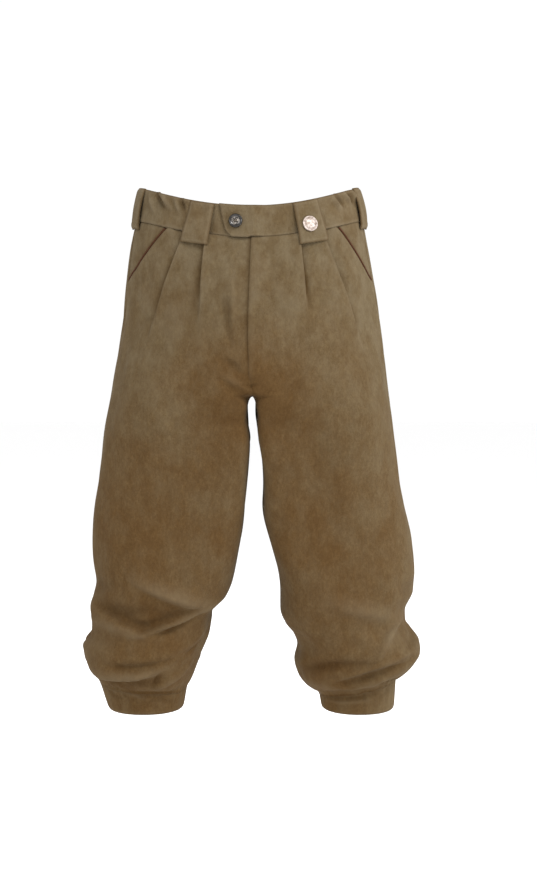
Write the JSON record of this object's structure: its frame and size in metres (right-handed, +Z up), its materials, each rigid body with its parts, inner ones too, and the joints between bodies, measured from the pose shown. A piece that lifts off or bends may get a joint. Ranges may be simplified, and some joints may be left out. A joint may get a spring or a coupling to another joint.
{
  "type": "knee breeches",
  "caption": "Brown moleskin knee breeches with a pleated front, wide belt loops, slanted piped pockets, a buttoned waistband tab and a band at each knee.",
  "frame": {"origin": "middle of the waist, halfway up the waistband, where the wearer's waist holds the breeches", "axes": "+Z up along the wearer's body, +X to the wearer's left, the front faces -Y"},
  "size_m": [0.5065, 0.278, 0.7783],
  "materials": {
    "cloth": "matt, with a short soft nap",
    "piping": "matt",
    "horn": "glossy",
    "metal": "satin"
  },
  "bodies": {
    "root": {"back_left": "cloth", "back_right": "cloth", "belt_loop_back": "cloth", "belt_loop_front_left": "cloth", "belt_loop_front_right": "cloth", "belt_loop_side_left": "cloth", "belt_loop_side_right": "cloth", "front_left": "cloth", "front_right": "cloth", "knee_band_left": "cloth", "knee_band_right": "cloth", "pocket_facing_left": "cloth", "pocket_facing_right": "cloth", "waistband_left": "cloth", "waistband_right": "cloth", "pocket_piping_left": "piping", "pocket_piping_right": "piping", "button": "horn", "badge": "metal"}
  },
  "joints": []
}
